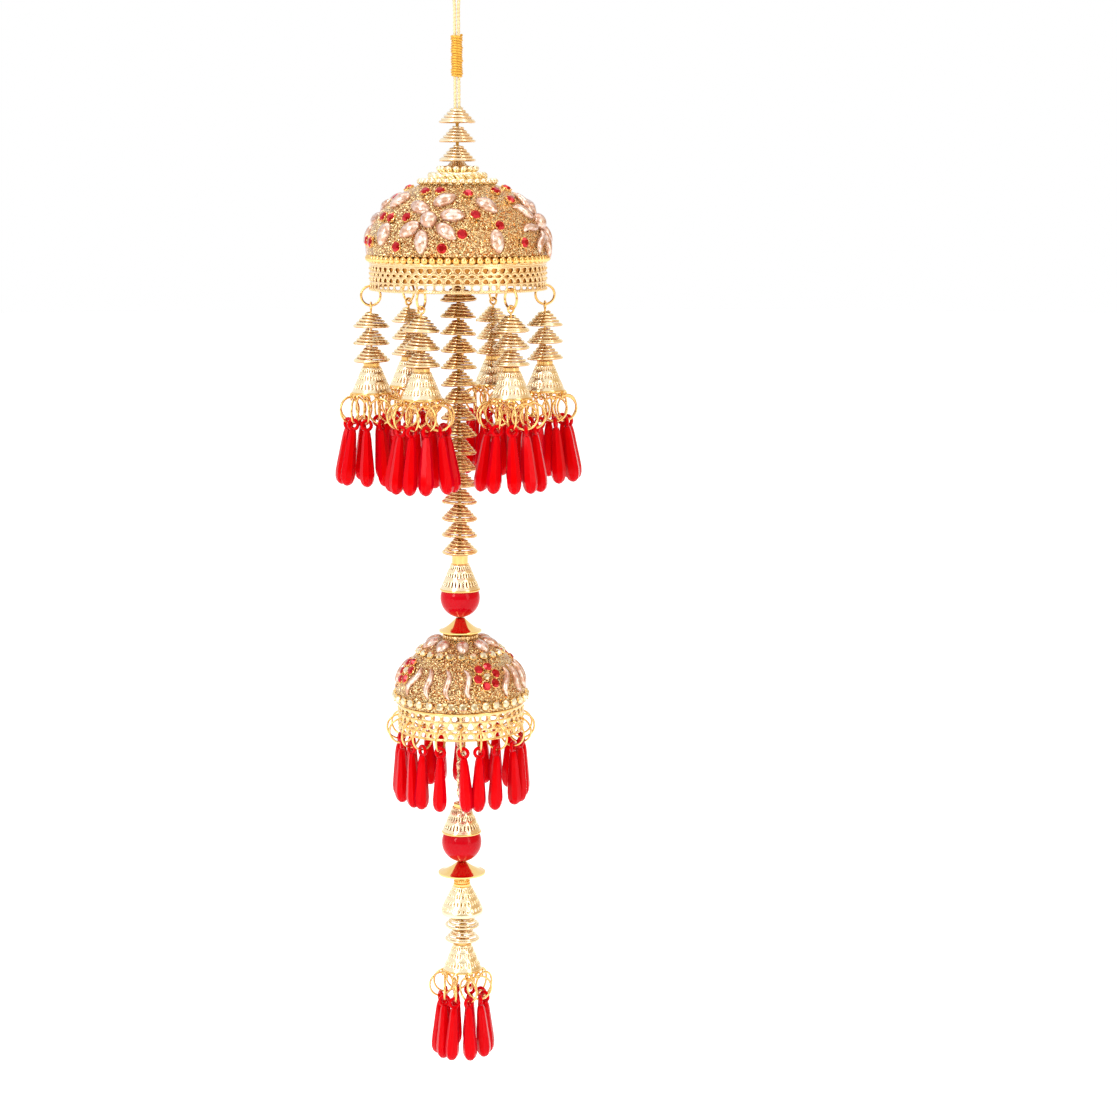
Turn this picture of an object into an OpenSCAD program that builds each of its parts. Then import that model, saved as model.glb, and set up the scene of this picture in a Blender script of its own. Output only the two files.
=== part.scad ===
// Kalira: one wrist ornament of a bridal pair, hung by a loop of metallic thread.
// Millimetres, +Z up. The origin is the top of the thread loop.
// Every depth below is measured straight down from the origin.

/* [Thread] */
// Diameter of the metallic thread
thread_d = 1.25; // [1:0.05:1.3]
// Depth at which the thread binding starts
binding_top = 26.8; // [24:0.1:30]
// Height of the thread binding
binding_h = 15.7; // [12:0.1:18]
// Outer diameter of the thread binding
binding_d = 4.6; // [4:0.1:5]

/* [Wire coils] */
// Radius of a coil cone at its open base
coil_base_r = 6.8; // [6:0.1:7.2]
// Height of a coil cone with its neck
coil_h = 5.95; // [5.5:0.05:5.95]
// Radius of the coil's neck
coil_neck_r = 1.9; // [1.7:0.1:2.2]
// Turns of wire that show on a coil
coil_turns = 6; // [4:1:7]
// Depth of the first coil above the cap
top_coil_depth = 52.8; // [52:0.1:54]
// Pitch of the coils above the cap
top_coil_pitch = 6.9; // [6.5:0.1:7]
// Depth of the first coil of the long column
column_depth = 117.35; // [117:0.05:118]
// Pitch of the coils in the column
column_pitch = 6.26; // [6.2:0.01:6.3]
// Coils in the column
column_count = 16; // [12:1:16]

/* [Large dome] */
// Radius of the large dome
dome_r = 33.2; // [32:0.1:34]
// Rise of the large dome above its widest line
dome_rise = 26.2; // [24:0.1:27]
// Depth of the large dome's widest line
dome_depth = 104.6; // [104:0.1:105]
// Wall of both domes
dome_wall = 1.2; // [1:0.1:1.5]
// Radius of the pierced band under the large dome
band_r = 32.5; // [32:0.1:33]
// Depth of the band's upper edge
band_depth = 108.8; // [108.8:0.1:109]
// Height of the pierced band
band_h = 10.3; // [10:0.1:11]
// Openings round the pierced band
band_columns = 60; // [60]
// Thickness of both pierced bands
band_t = 0.6; // [0.5:0.05:0.7]

/* [Tassels] */
// Direction of the first tassel, seen from above, in degrees from +X
tassel_turn = -112; // [-118:6:-106]
// Outer diameter of a tassel's jump ring
jump_ring_d = 8; // [7:0.5:8]
// Pitch of the coils in a tassel
tassel_pitch = 6.2; // [6.2:0.01:6.3]
// Coils in a tassel
tassel_coil_count = 3; // [1:1:3]
// Lean of the tassel's drops away from its axis, in degrees
tassel_lean = 7; // [4:1:8]

/* [Filigree cones] */
// Radius of a filigree cone at its rim
cone_base_r = 7.6; // [7:0.1:8]
// Radius of a filigree cone under its neck
cone_top_r = 3.4; // [3.2:0.1:4]
// Height of a filigree cone under its neck
cone_h = 10.1; // [10:0.1:10.6]
// Radius of a cone's neck
cone_neck_r = 3; // [2.6:0.1:3.2]

/* [Rings and drops] */
// Outer diameter of the rings that carry the drops
ring_d = 10; // [9.6:0.1:10.2]
// Wire of the rings
ring_wire = 0.8; // [0.7:0.05:0.8]
// Rings and drops on each cone
cone_drop_count = 10; // [8:1:10]
// Rings and drops on the small dome's band
dome_drop_count = 20; // [10,20]
// Length of a drop below the middle of its eye
drop_l = 22.75; // [20:0.25:24]
// Radius of a drop at its belly
drop_r = 2.8; // [2.4:0.1:2.8]

/* [Beads and saucers] */
// Diameter of the upper red bead
upper_bead_d = 14.9; // [14:0.1:15]
// Depth of the upper red bead's middle
upper_bead_depth = 234.2; // [234:0.1:235]
// Diameter of the lower red bead
lower_bead_d = 15.2; // [14:0.1:15.2]
// Depth of the lower red bead's middle
lower_bead_depth = 328.6; // [328.5:0.1:329]

/* [Small dome] */
// Radius of the small dome
small_dome_r = 24.7; // [24.7:0.1:25]
// Depth of the small dome's base
small_dome_depth = 273.5; // [273.5:0.1:274]
// Radius of the pierced band under the small dome
small_band_r = 23.6; // [23.6:0.1:23.8]
// Height of the small pierced band
small_band_h = 10.8; // [10:0.1:11]
// Openings round the small pierced band
small_band_columns = 40; // [40]

/* [Chain] */
// Outer diameter of a chain link
link_d = 4.5; // [4.5:0.1:4.6]
// Wire of a chain link
link_wire = 0.9; // [0.8:0.05:0.9]
// Pitch of the links
link_pitch = 2.6; // [2.5:0.05:2.6]
// Links in the chain
link_count = 22; // [22]

/* [Hidden] */
$fn = 48;

// Colours
gold = "#E8C34A";
copper_gold = "#C98F3A";
pale_gold = "#F0DC90";
glitter_gold = "#C89B3C";
thread_gold = "#E9CF7A";
clear_stone = "#F2EBD8";
drop_red = "#E80000";
bead_red = "#D5001E";

// Clearances
gap = 0.3;
hole_r = 0.9;
wire_r = 0.6;
pin_r = 0.4;
cone_wall = 0.9;

// The thread's route, [x, z]: up one side, round the loop and down the other.
half_route = [
    [-0.7, -55], [-0.7, -51.5], [-0.7, -48], [-0.7, -44.5], [-0.7, -41], [-0.7, -37.5],
    [-0.7, -34], [-0.7, -30.5], [-0.7, -27], [-0.7, -24], [-0.7, -21], [-0.7, -18],
    [-0.9, -15], [-1.6, -12], [-2.6, -9], [-3.3, -6], [-3, -3], [-1.7, -1.1]
];
loop_top = [[0, -0.63]];
other_half = [for (i = [len(half_route) - 1 : -1 : 0]) [-half_route[i][0], half_route[i][1]]];
thread_route = concat(half_route, loop_top, other_half);
thread_sides = 8;

// Large dome's rim, and the row of balls between it and the band
dome_rim_depth = 106;
ball_row_depth = 107.4;
ball_row_r = 32.75;

// Large band: its bottom rail is what the tassels hang from.
rail_h = 0.9;
rail_depth = band_depth + band_h - rail_h / 2;
rail_r = band_r - band_t / 2;
window_h = 2.1;
window_w = 2.2;
window_turn = 2;

// Small band: the rings pass through its windows.
small_rail_r = small_band_r - band_t / 2;
small_window_h = 2.2;
small_window_w = 2.4;
small_window_drop = 3.9;
small_window_top = small_dome_depth + small_window_drop;

// Rings and eyes, as centre-line radii
ring_r = (ring_d - ring_wire) / 2;
ring_rest = 0.17;
eye_r = 1.75;
eye_wire = 1.4;
eye_drop = 0.45;
eyelet_r = 1.5;
eyelet_hole_r = 0.85;
eyelet_t = 0.8;
eyelet_at = cone_base_r + 0.1;
eyelet_below = 1.05;
ring_at = eyelet_at + 0.5;

// Tassel stack
jump_wire = 0.9;
jump_rest = 0.2;
pin_rest = 0.15;
jump_r = (jump_ring_d - jump_wire) / 2;
jump_depth = rail_depth - rail_h / 2 - jump_rest - jump_wire / 2 + jump_r;
pin_eye_r = 1.25;
pin_eye_depth = jump_depth + jump_r + pin_eye_r - pin_r - jump_wire / 2 - pin_rest;
tassel_coil_depth = pin_eye_depth + pin_eye_r + pin_r + gap;
tassel_neck_rest = 0.05;
tassel_neck_depth = tassel_coil_depth + tassel_coil_count * tassel_pitch + tassel_neck_rest;
tassel_neck_h = 1.5;
tassel_rim_depth = tassel_neck_depth + tassel_neck_h + cone_h;

// Crown cap: [outer radius, depth where the tier starts, depth where it ends]
cap_tiers = [[3.75, 72.2, 74], [7.95, 74, 76.3], [11.1, 76.3, 79], [15, 79, 80.85]];
cap_bevel = 0.5;

// Strand levels
column_bottom = column_depth + (column_count - 1) * column_pitch + coil_h;
upper_cone_rim = 231.3;
upper_neck_h = upper_cone_rim - cone_h - column_bottom - gap;
upper_saucer_depth = upper_bead_depth + upper_bead_d / 2 + gap / 2;
upper_saucer_h = 5.2;
upper_saucer_r = 8;
collar_depth = 247.35;
collar_h = 1.6;
collar_r = 6.2;
collar_hole_r = 4.2;
upper_eye_depth = 57.2;
wire_eye_r = 1.3;
wire_eye_t = 0.5;
dome_eye_depth = small_dome_depth - small_dome_r + dome_wall + gap + wire_eye_r + wire_eye_t;
upper_stone_row_depth = 253.6;
upper_stone_row_r = 16.5;
link_r = (link_d - link_wire) / 2;
link_rest = 0.1;
eye_to_link = wire_eye_r + link_r - wire_eye_t - link_wire / 2 - link_rest;
first_link_depth = dome_eye_depth + eye_to_link;
last_link_depth = first_link_depth + (link_count - 1) * link_pitch;
lower_eye_depth = last_link_depth + eye_to_link;
chain_turn = 40;
lower_neck_depth = 313.2;
lower_neck_h = 1.5;
lower_saucer_depth = lower_bead_depth + lower_bead_d / 2 + gap / 2;
lower_saucer_h = 4.5;
lower_saucer_r = 9;
shoulder_rim_depth = 357.1;
shoulder_neck_drop = 2.1;
shoulder_neck_depth = lower_saucer_depth + shoulder_neck_drop;
end_coil_depths = [355.85, 361.25];
end_neck_depth = 367.1;
end_cone_h = 10.5;
end_rim_depth = end_neck_depth + tassel_neck_h + end_cone_h;
end_head_depth = end_neck_depth + tassel_neck_h + cone_wall + gap;
end_lean = 3;

// Shoulder cone: [height over its rim, outer radius]
shoulder_rows = [[0, 7.7], [0.5, 8.1], [1.5, 8.1], [3.2, 7.3], [6, 6.1], [9, 4.6], [11.6, 3.3]];

// Drop: [share of the length, share of the belly's radius]
drop_rows = [
    [0.085, 0.36], [0.16, 0.38], [0.35, 0.56], [0.58, 0.82], [0.72, 0.96],
    [0.8, 1], [0.88, 0.93], [0.95, 0.65], [0.985, 0.32], [1, 0]
];

function mix(a, b, t) = a + (b - a) * t;
function dome_top(r) = dome_depth - dome_rise * sqrt(1 - pow(r / dome_r, 2));
function arc_row(r, rise, inner, n) =
    [for (i = [0 : n]) let (a = mix(asin(inner / r), 90, i / n)) [r * sin(a), rise * cos(a)]];
function reversed(list) = [for (i = [len(list) - 1 : -1 : 0]) list[i]];

// Points of a smooth curve through a route, two to each stretch
function route_at(p, i) = p[max(0, min(len(p) - 1, i))];
function halfway(p, i) =
    (9 * (route_at(p, i) + route_at(p, i + 1)) - route_at(p, i - 1) - route_at(p, i + 2)) / 16;
function smooth_route(p) =
    concat([for (i = [0 : len(p) - 2], h = [0, 1]) h == 0 ? p[i] : halfway(p, i)], [p[len(p) - 1]]);
function heading(p, i) =
    let (d = route_at(p, i + 1) - route_at(p, i - 1)) d / norm(d);

module down(d) {
    translate([0, 0, -d]) children();
}

module torus(centre_r, tube_r) {
    rotate_extrude() translate([centre_r, 0]) circle(tube_r, $fn = 24);
}

// A round tube swept along a route in the XZ plane
module swept_tube(route, d, sides) {
    p = smooth_route(route);
    n = len(p);
    points = [
        for (i = [0 : n - 1], k = [0 : sides - 1])
            let (t = heading(p, i), a = 360 * k / sides, s = d / 2 * cos(a))
            [p[i][0] - t[1] * s, d / 2 * sin(a), p[i][1] + t[0] * s]
    ];
    walls = [
        for (i = [0 : n - 2], k = [0 : sides - 1])
            let (a = i * sides + k, b = i * sides + (k + 1) % sides)
            [a, a + sides, b + sides, b]
    ];
    caps = [[for (k = [0 : sides - 1]) k], [for (k = [sides - 1 : -1 : 0]) (n - 1) * sides + k]];
    polyhedron(points, concat(walls, caps), convexity = 6);
}

// A cone wound from wire: ridged outside, plain inside, open below
module coil(hole = hole_r) {
    neck_h = 0.9;
    side_h = coil_h - neck_h;
    bulge = 0.4;
    foot_r = coil_base_r - bulge;
    wall = 0.8;
    slope = (foot_r - coil_neck_r) / side_h;
    ridges = [
        for (i = [2 * coil_turns : -1 : 0])
            let (t = i / (2 * coil_turns))
            [mix(foot_r, coil_neck_r, t) + (i % 2 == 0 ? bulge : 0), mix(0, side_h, t)]
    ];
    rotate_extrude() polygon(concat(
        [[hole, coil_h], [coil_neck_r, coil_h]],
        ridges,
        [[foot_r - wall, 0], [hole, (foot_r - wall - hole) / slope]]
    ));
}

// A filigree cone standing on its rim: three tiers between raised rings, and a neck
module filigree_cone(h, neck_h) {
    rim_h = 1;
    ridge = 0.3;
    tiers = 3;
    sides = [
        for (i = [1 : tiers - 1], k = [-1, -0.5, 0.5, 1])
            let (t = i / tiers + 0.035 * k)
            [mix(cone_base_r - ridge, cone_top_r, t) + (abs(k) < 1 ? ridge : 0), mix(rim_h, h, t)]
    ];
    rotate_extrude() polygon(concat(
        [[cone_base_r - 0.5, 0], [cone_base_r - 0.2, 0], [cone_base_r, 0.25]],
        [[cone_base_r, rim_h - 0.25], [cone_base_r - ridge, rim_h]],
        sides,
        [[cone_top_r, h], [cone_neck_r, h], [cone_neck_r, h + neck_h], [hole_r, h + neck_h]],
        [[hole_r, h - cone_wall], [cone_top_r - cone_wall / 2, h - cone_wall]]
    ));
}

// The same cone with a row of eyelets soldered under its rim
module eyelet_cone(h, neck_h) {
    difference() {
        union() {
            filigree_cone(h, neck_h);
            around(cone_drop_count) translate([eyelet_at - eyelet_t / 2, 0, -eyelet_below])
                rotate([0, 90, 0]) cylinder(r = eyelet_r, h = eyelet_t);
        }
        around(cone_drop_count) translate([eyelet_at - eyelet_t, 0, -eyelet_below])
            rotate([0, 90, 0]) cylinder(r = eyelet_hole_r, h = 2 * eyelet_t);
    }
}

// A polished saucer: a steep middle that flares out to a thin flat rim
module saucer(r, h) {
    wall = 0.7;
    crown_r = 1.6;
    steps = 8;
    flare = [
        for (i = [0 : steps])
            let (t = i / steps)
            [mix(crown_r, r, t), wall + (h - wall) * pow(1 - t, 2)]
    ];
    under = [for (p = reversed(flare)) [p[0], p[1] - wall]];
    rotate_extrude() polygon(concat(
        [[hole_r, h]],
        flare,
        under,
        [[hole_r, h - wall]]
    ));
}

// A thin pierced band that hangs down from its upper edge
module pierced_band(r, h, count, turn, top, w, window) {
    difference() {
        down(h) difference() {
            cylinder(r = r, h = h, $fn = 96);
            translate([0, 0, -1]) cylinder(r = r - band_t, h = h + 2, $fn = 96);
        }
        for (i = [0 : count - 1]) rotate([0, 0, turn + i * 360 / count])
            translate([r - 2 * band_t, -w / 2, -top - window])
            cube([3 * band_t, w, window]);
    }
}

module around(count, turn = 0) {
    for (i = [0 : count - 1]) rotate([0, 0, turn + i * 360 / count]) children();
}

// A faceted drop below its eye. The eye's hole runs along X.
module drop() {
    rotate([0, 90, 0]) torus(eye_r, eye_wire / 2);
    rotate_extrude() polygon(concat(
        [[0, -drop_rows[0][0] * drop_l]],
        [for (row = drop_rows) [row[1] * drop_r, -row[0] * drop_l]]
    ));
}

// What hangs from a ring's middle at a lean away from the axis
module on_ring(lean) {
    rotate([0, -lean, 0]) down(ring_r + eye_drop) children();
}

module ring() {
    rotate([90, 0, 0]) torus(ring_r, ring_wire / 2);
}

// Places what a cone's rim carries, once for each of its rings
module at_cone_rings(rim_depth) {
    down(rim_depth + eyelet_below + ring_r + ring_rest)
        around(cone_drop_count) translate([ring_at, 0, 0]) children();
}

// Places what the small band carries, once for each of its rings
module at_band_rings() {
    down(small_window_top + small_window_h - gap - ring_wire / 2 + ring_r)
        around(dome_drop_count, window_turn) translate([small_rail_r, 0, 0]) children();
}

module at_tassel(k) {
    rotate([0, 0, tassel_turn + 60 * (k - 1)]) translate([rail_r, 0, 0]) children();
}

module hanging_cord() {
    color(thread_gold) swept_tube(thread_route, thread_d, thread_sides);
}

module cord_binding() {
    run = 0.7;
    channel_r = 0.85;
    shoulder = 1.2;
    color(gold) down(binding_top + binding_h) difference() {
        rotate_extrude() polygon([
            [0, 0], [binding_d / 2 - 0.6, 0], [binding_d / 2, shoulder],
            [binding_d / 2, binding_h - shoulder], [binding_d / 2 - 0.6, binding_h], [0, binding_h]
        ]);
        for (x = [-run, run]) translate([x, 0, -1]) cylinder(r = channel_r, h = binding_h + 2);
        translate([-run, -channel_r / 2, -1]) cube([2 * run, channel_r, binding_h + 2]);
    }
}

module top_coils() {
    thread_hole = 1.45;
    color(gold) {
        down(top_coil_depth + coil_h) coil(thread_hole);
        for (i = [1, 2]) down(top_coil_depth + i * top_coil_pitch + coil_h) coil();
    }
}

module crown_cap() {
    tiers = [
        for (t = cap_tiers, k = [0 : 2])
            k == 0 ? [t[0] - cap_bevel, -t[1]]
                : k == 1 ? [t[0], -t[1] - cap_bevel] : [t[0], -t[2]]
    ];
    under = [for (r = [14, 11, 7.5, 4]) [r, -dome_top(r) + gap]];
    color(pale_gold) rotate_extrude() polygon(concat(
        [[hole_r, -cap_tiers[0][1]]], tiers, under, [[hole_r, -dome_top(hole_r) + gap]]
    ));
}

module big_dome() {
    rim = dome_depth - dome_rim_depth;
    outer = arc_row(dome_r, dome_rise, hole_r, 18);
    inner = arc_row(dome_r - dome_wall, dome_rise - dome_wall, hole_r, 18);
    color(glitter_gold) down(dome_depth) rotate_extrude($fn = 96) polygon(concat(
        outer, [[dome_r, rim], [dome_r - dome_wall, rim]], reversed(inner)
    ));
}

module ball_row() {
    ball_r = 1.15;
    color(gold) down(ball_row_depth) torus(ball_row_r, ball_r, $fn = 96);
}

module big_band() {
    color(gold) down(band_depth) pierced_band(
        band_r, band_h, band_columns, window_turn, band_h - rail_h - window_h, window_w, window_h
    );
}

module inner_sleeve() {
    sleeve_r = 1.6;
    top = dome_top(0) + dome_wall + gap;
    color(gold) down(column_depth - gap) difference() {
        cylinder(r = sleeve_r, h = column_depth - gap - top);
        translate([0, 0, -1]) cylinder(r = hole_r, h = column_depth - top + 2);
    }
}

module upper_wire() {
    color(gold) {
        down(upper_eye_depth) rotate([90, 0, 0]) torus(wire_eye_r, wire_eye_t);
        down(dome_eye_depth - wire_eye_r)
            cylinder(r = wire_r, h = dome_eye_depth - upper_eye_depth - 2 * wire_eye_r);
        down(dome_eye_depth) rotate([90, 0, chain_turn]) torus(wire_eye_r, wire_eye_t);
    }
}

module column_coils() {
    color(copper_gold) for (i = [0 : column_count - 1])
        down(column_depth + i * column_pitch + coil_h) coil();
}

module upper_cone() {
    color(pale_gold) down(upper_cone_rim) filigree_cone(cone_h, upper_neck_h);
}

module drilled_bead(d) {
    difference() {
        sphere(d = d);
        cylinder(r = hole_r, h = d + 2, center = true);
    }
}

module upper_bead() {
    color(bead_red) down(upper_bead_depth) drilled_bead(upper_bead_d);
}

module upper_saucer() {
    color(gold) down(upper_saucer_depth + upper_saucer_h) saucer(upper_saucer_r, upper_saucer_h);
}

module dome_collar() {
    color(pale_gold) down(collar_depth + collar_h) difference() {
        cylinder(r = collar_r, h = collar_h);
        translate([0, 0, -1]) cylinder(r = collar_hole_r, h = collar_h + 2);
    }
}

module small_dome() {
    block = 3 * small_dome_r;
    color(glitter_gold) down(small_dome_depth) difference() {
        sphere(r = small_dome_r, $fn = 96);
        sphere(r = small_dome_r - dome_wall, $fn = 96);
        translate([-block / 2, -block / 2, gap - block]) cube(block);
        cylinder(r = hole_r, h = block);
    }
}

module upper_stone_row() {
    stone_r = 0.9;
    color(clear_stone) down(upper_stone_row_depth) torus(upper_stone_row_r, stone_r);
}

module lower_stone_row() {
    inner_r = small_dome_r + gap;
    stone_h = 2.6;
    stone_t = 1.2;
    color(clear_stone) down(small_dome_depth - gap) difference() {
        cylinder(r = inner_r + stone_t, h = stone_h, $fn = 96);
        translate([0, 0, -1]) cylinder(r = inner_r, h = stone_h + 2, $fn = 96);
    }
}

module small_band() {
    color(gold) down(small_dome_depth) pierced_band(
        small_band_r, small_band_h, small_band_columns, window_turn,
        small_window_top - small_dome_depth, small_window_w, small_window_h
    );
}

module small_dome_rings() {
    color(gold) at_band_rings() ring();
}

module small_dome_drops() {
    color(drop_red) at_band_rings() on_ring(0) drop();
}

module chain_links() {
    color(gold) for (i = [0 : link_count - 1]) down(first_link_depth + i * link_pitch)
        rotate([90, 0, chain_turn + (i % 2 == 0 ? 90 : 0)]) torus(link_r, link_wire / 2);
}

module lower_wire() {
    head_r = 1.6;
    head_h = 1;
    color(gold) {
        down(lower_eye_depth) rotate([90, 0, chain_turn + 90]) torus(wire_eye_r, wire_eye_t);
        down(end_head_depth)
            cylinder(r = wire_r, h = end_head_depth - lower_eye_depth - wire_eye_r);
        down(end_head_depth + head_h) cylinder(r = head_r, h = head_h);
    }
}

module lower_cone() {
    color(pale_gold) down(lower_neck_depth + lower_neck_h + cone_h)
        filigree_cone(cone_h, lower_neck_h);
}

module lower_bead() {
    color(bead_red) down(lower_bead_depth) drilled_bead(lower_bead_d);
}

module lower_saucer() {
    color(gold) down(lower_saucer_depth + lower_saucer_h) saucer(lower_saucer_r, lower_saucer_h);
}

module shoulder_cone() {
    neck_r = 2.7;
    top = shoulder_rows[len(shoulder_rows) - 1];
    inner = [for (row = reversed(shoulder_rows)) [row[1] - cone_wall, max(0, row[0] - cone_wall)]];
    color(pale_gold) down(shoulder_rim_depth) rotate_extrude() polygon(concat(
        [for (row = shoulder_rows) [row[1], row[0]]],
        [[neck_r, top[0]], [neck_r, shoulder_rim_depth - shoulder_neck_depth]],
        [[hole_r, shoulder_rim_depth - shoulder_neck_depth], [hole_r, top[0] - cone_wall]],
        [for (i = [0 : len(inner) - 2]) inner[i]]
    ));
}

module end_coils() {
    color(pale_gold) for (d = end_coil_depths) down(d + coil_h) coil();
}

module end_cone() {
    color(pale_gold) down(end_rim_depth) eyelet_cone(end_cone_h, tassel_neck_h);
}

module end_rings() {
    color(gold) at_cone_rings(end_rim_depth) ring();
}

module end_drops() {
    color(drop_red) at_cone_rings(end_rim_depth) on_ring(end_lean) drop();
}

module tassel_hanger(k) {
    head_r = 1.5;
    head_h = 1;
    head_depth = tassel_neck_depth + tassel_neck_h + cone_wall + gap;
    color(gold) at_tassel(k) {
        down(jump_depth) rotate([90, 0, 0]) torus(jump_r, jump_wire / 2);
        down(pin_eye_depth) rotate([0, 90, 0]) torus(pin_eye_r, pin_r);
        down(head_depth) cylinder(r = pin_r, h = head_depth - pin_eye_depth - pin_eye_r);
        down(head_depth + head_h) cylinder(r = head_r, h = head_h);
    }
}

module tassel_coils(k) {
    color(copper_gold) at_tassel(k) for (i = [0 : tassel_coil_count - 1])
        down(tassel_coil_depth + i * tassel_pitch + coil_h) coil();
}

module tassel_cone(k) {
    color(pale_gold) at_tassel(k) down(tassel_rim_depth) eyelet_cone(cone_h, tassel_neck_h);
}

module tassel_rings(k) {
    color(gold) at_tassel(k) at_cone_rings(tassel_rim_depth) ring();
}

module tassel_drops(k) {
    color(drop_red) at_tassel(k) at_cone_rings(tassel_rim_depth) on_ring(tassel_lean) drop();
}

hanging_cord();
cord_binding();
top_coils();
crown_cap();
big_dome();
ball_row();
big_band();
inner_sleeve();
upper_wire();
column_coils();
upper_cone();
upper_bead();
upper_saucer();
dome_collar();
small_dome();
upper_stone_row();
lower_stone_row();
small_band();
small_dome_rings();
small_dome_drops();
chain_links();
lower_wire();
lower_cone();
lower_bead();
lower_saucer();
shoulder_cone();
end_coils();
end_cone();
end_rings();
end_drops();
tassel_hanger(1);  // tassel_1_hanger
tassel_coils(1);  // tassel_1_coils
tassel_cone(1);  // tassel_1_cone
tassel_rings(1);  // tassel_1_rings
tassel_drops(1);  // tassel_1_drops
tassel_hanger(2);  // tassel_2_hanger
tassel_coils(2);  // tassel_2_coils
tassel_cone(2);  // tassel_2_cone
tassel_rings(2);  // tassel_2_rings
tassel_drops(2);  // tassel_2_drops
tassel_hanger(3);  // tassel_3_hanger
tassel_coils(3);  // tassel_3_coils
tassel_cone(3);  // tassel_3_cone
tassel_rings(3);  // tassel_3_rings
tassel_drops(3);  // tassel_3_drops
tassel_hanger(4);  // tassel_4_hanger
tassel_coils(4);  // tassel_4_coils
tassel_cone(4);  // tassel_4_cone
tassel_rings(4);  // tassel_4_rings
tassel_drops(4);  // tassel_4_drops
tassel_hanger(5);  // tassel_5_hanger
tassel_coils(5);  // tassel_5_coils
tassel_cone(5);  // tassel_5_cone
tassel_rings(5);  // tassel_5_rings
tassel_drops(5);  // tassel_5_drops
tassel_hanger(6);  // tassel_6_hanger
tassel_coils(6);  // tassel_6_coils
tassel_cone(6);  // tassel_6_cone
tassel_rings(6);  // tassel_6_rings
tassel_drops(6);  // tassel_6_drops
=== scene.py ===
# %% [markdown]
# # A kalira, modelled and finished in Blender
# A kalira is one of the two ornaments that hang from a bride's bangles. This one is a strand of
# wire cones, two glittered domes and bunches of red drops, strung on wire and hung by a gold thread.
# The sizes are in millimetres and every depth is measured straight down from the top of the loop.
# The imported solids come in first, as the fixed frame that each piece is dressed around.

# %% The frame
import math
import random

import bmesh
import bpy
from mathutils import Matrix, Vector


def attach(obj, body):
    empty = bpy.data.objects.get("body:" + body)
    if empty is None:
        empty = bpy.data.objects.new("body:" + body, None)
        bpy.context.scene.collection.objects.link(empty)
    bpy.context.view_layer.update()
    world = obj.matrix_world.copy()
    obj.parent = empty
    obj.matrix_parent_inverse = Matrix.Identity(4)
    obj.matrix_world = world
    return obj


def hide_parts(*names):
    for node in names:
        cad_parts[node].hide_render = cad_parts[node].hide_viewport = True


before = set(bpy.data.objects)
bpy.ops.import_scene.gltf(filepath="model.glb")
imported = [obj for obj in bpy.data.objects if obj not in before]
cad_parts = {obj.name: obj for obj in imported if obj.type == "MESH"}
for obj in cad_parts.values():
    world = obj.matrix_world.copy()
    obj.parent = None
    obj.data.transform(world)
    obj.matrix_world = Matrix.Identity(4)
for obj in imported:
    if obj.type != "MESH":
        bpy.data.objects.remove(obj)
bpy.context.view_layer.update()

# %% [markdown]
# ## Camera
# The photograph was taken from about a metre away, a little above the middle of the strand, with a
# long lens. A camera could be fitted by eye, but the ellipses of the two dome rims give its height
# and tilt, and the length of the strand gives its distance. So it is set by numbers.

# %% The camera
MM = 0.001
PHOTO_SIDE = 1117
FOCAL_PIXELS = 2502
SENSOR = 36
CAMERA_PLACE, CAMERA_DIP = (0.0369, -0.925, -0.072), 9.05
scene = bpy.context.scene
lens = bpy.data.cameras.new("camera")
lens.sensor_width = SENSOR
lens.lens = FOCAL_PIXELS / PHOTO_SIDE * SENSOR
lens.clip_start, lens.clip_end = 0.01, 50
camera = bpy.data.objects.new("camera", lens)
camera.location = CAMERA_PLACE
camera.rotation_euler = (math.radians(90 - CAMERA_DIP), 0, 0)
scene.collection.objects.link(camera)
scene.camera = camera
print("lens", round(lens.lens, 2), "mm")

# %% [markdown]
# ## Shaping helpers
# Almost every part of the strand is turned or made of wire. So three helpers do most of the work:
# one turns an outline round the Z axis as a lathe does, one pulls a section along a row of stations
# as wire is drawn, and one makes a closed ring. Points nearer than the weld or the seam are made one.

# %% Lathe and wire
WELD, SEAM = 1e-4, 0.02


def lathe(bm, outline, steps):
    """Turns an outline of (radius, depth) pairs once round the Z axis."""
    verts = [bm.verts.new((r, 0, -d)) for r, d in outline]
    edges = [bm.edges.new(pair) for pair in zip(verts, verts[1:])]
    bmesh.ops.spin(bm, geom=verts + edges, cent=(0, 0, 0), axis=(0, 0, 1),
                   angle=2 * math.pi, steps=steps, use_merge=True)
    bmesh.ops.remove_doubles(bm, verts=bm.verts, dist=WELD)
    bmesh.ops.recalc_face_normals(bm, faces=bm.faces)


def pull(bm, stations, sides, radius, lobes=0, depth=0.0, closed=False):
    """Pulls a round or lobed section through the stations, which are matrices."""
    ring = bmesh.ops.create_circle(bm, segments=sides, radius=radius)["verts"]
    for v in ring:
        v.co *= 1 + depth * math.cos(lobes * math.atan2(v.co.y, v.co.x))
    bmesh.ops.transform(bm, matrix=stations[0], verts=ring)
    edges = list({e for v in ring for e in v.link_edges})
    if not closed:
        bmesh.ops.contextual_create(bm, geom=edges)
    for here, after in zip(stations, stations[1:]):
        grown = bmesh.ops.extrude_edge_only(bm, edges=edges)["geom"]
        ring = [g for g in grown if isinstance(g, bmesh.types.BMVert)]
        new = set(ring)
        edges = [g for g in grown if isinstance(g, bmesh.types.BMEdge) and set(g.verts) <= new]
        bmesh.ops.transform(bm, matrix=after @ here.inverted(), verts=ring)
    if closed:
        bmesh.ops.remove_doubles(bm, verts=bm.verts, dist=SEAM)
    else:
        bmesh.ops.contextual_create(bm, geom=edges)
    bmesh.ops.recalc_face_normals(bm, faces=bm.faces)


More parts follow.
